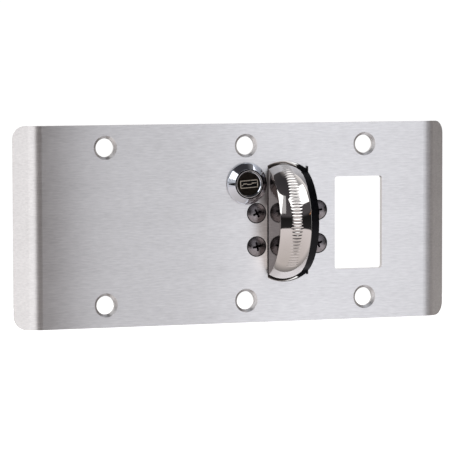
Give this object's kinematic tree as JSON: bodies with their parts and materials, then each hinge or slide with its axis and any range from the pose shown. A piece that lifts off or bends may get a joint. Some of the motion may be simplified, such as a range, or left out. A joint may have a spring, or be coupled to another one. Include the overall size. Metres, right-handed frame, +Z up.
{
  "type": "selector key switch",
  "caption": "Brushed stainless switch plate with bent-back ends, a chrome thumb-wheel selector beside a black guard, a key-operated cylinder switch and a cut-out for a plug-in module.",
  "frame": {"origin": "centre of the four outer mounting holes, on the plate's rear face", "axes": "+X to the right seen from the front, +Y rearwards into the wall, +Z up"},
  "size_m": [0.246, 0.0672, 0.108],
  "materials": {
    "plate_stainless": "horizontally brushed",
    "wheel_chrome": "polished",
    "lock_chrome": "polished",
    "plug_steel": "dark satin",
    "keyway_nickel": "satin nickel",
    "wafer_brass": "plain",
    "zinc_plate": "zinc plated",
    "screw_steel": "dark nickel plated",
    "pin_steel": "ground",
    "bush_bronze": "sintered bronze",
    "guard_black": "moulded",
    "switch_black": "moulded",
    "nylon_natural": "moulded",
    "plunger_red": "moulded",
    "terminal_tin": "tinned",
    "spring_steel": "blued"
  },
  "bodies": {
    "panel": {"front_plate": "plate_stainless", "bracket_screws": "screw_steel", "left_bracket": "zinc_plate", "right_bracket": "zinc_plate", "left_bush": "bush_bronze", "right_bush": "bush_bronze", "stop_pin": "pin_steel", "wheel_guard": "guard_black", "guard_screws": "zinc_plate", "axle_spacer": "nylon_natural", "thrust_washer": "nylon_natural", "detent_spring": "spring_steel", "detent_screw": "zinc_plate", "microswitch_case": "switch_black", "microswitch_terminals": "terminal_tin", "microswitch_screws": "zinc_plate", "lock_housing": "lock_chrome", "lock_washer": "zinc_plate", "lock_nut": "zinc_plate", "switch_block": "switch_black", "block_screws": "zinc_plate", "switch_terminals": "terminal_tin"},
    "selector_wheel": {"thumb_wheel": "wheel_chrome", "hub_set_screw": "spring_steel", "axle": "pin_steel", "selector_cam": "nylon_natural", "cam_pin": "pin_steel", "detent_star": "pin_steel", "axle_clip": "spring_steel"},
    "switch_plunger": {"microswitch_plunger": "plunger_red"},
    "key_plug": {"lock_plug": "plug_steel", "keyway_insert": "keyway_nickel", "keyway_shutter": "keyway_nickel", "wafer_tumblers": "wafer_brass", "plug_washer": "zinc_plate", "contact_rotor": "nylon_natural", "rotor_bridge": "wafer_brass", "tail_screw": "zinc_plate"}
  },
  "joints": [
    {"name": "wheel_turn", "type": "hinge", "parent": "panel", "child": "selector_wheel", "pos_m": [0.0288, 0.0082, 0.0004], "axis": [1, 0, 0], "range_deg": [0, 70]},
    {"name": "plunger_press", "type": "slide", "parent": "panel", "child": "switch_plunger", "axis": [0, 1, 0], "range_m": [0, 0.0007]},
    {"name": "key_turn", "type": "hinge", "parent": "panel", "child": "key_plug", "pos_m": [0.0055, 0, 0.0214], "axis": [0, 1, 0], "range_deg": [0, 90]}
  ],
  "couplings": [
    {"joint": "plunger_press", "follows": "wheel_turn", "m_per_rad": 0.00057296}
  ]
}
